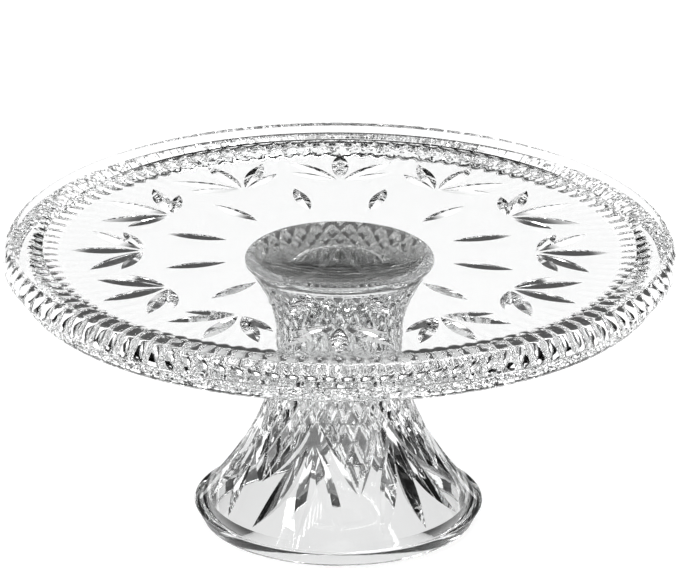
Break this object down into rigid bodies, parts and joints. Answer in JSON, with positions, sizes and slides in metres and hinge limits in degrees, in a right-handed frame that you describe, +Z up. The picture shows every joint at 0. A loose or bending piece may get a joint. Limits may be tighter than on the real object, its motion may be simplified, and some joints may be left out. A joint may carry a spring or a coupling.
{
  "type": "cake stand",
  "caption": "Clear pressed-glass footed cake stand: a round plate with a turned-down ribbed rim, bonded to a hollow trumpet foot with leaf cuts.",
  "frame": {"origin": "middle of the foot's base ring, on the surface that the stand rests on", "axes": "+Z up along the stand's axis; -Y is the side seen in front, with a fan of leaf cuts in the middle of the plate's front"},
  "size_m": [0.3048, 0.3048, 0.134],
  "materials": {
    "plate_glass": "clear, polished",
    "foot_glass": "clear, polished",
    "bond_adhesive": "clear, thin"
  },
  "bodies": {
    "root": {"plate": "plate_glass", "foot": "foot_glass", "bond_disc": "bond_adhesive"}
  },
  "joints": []
}
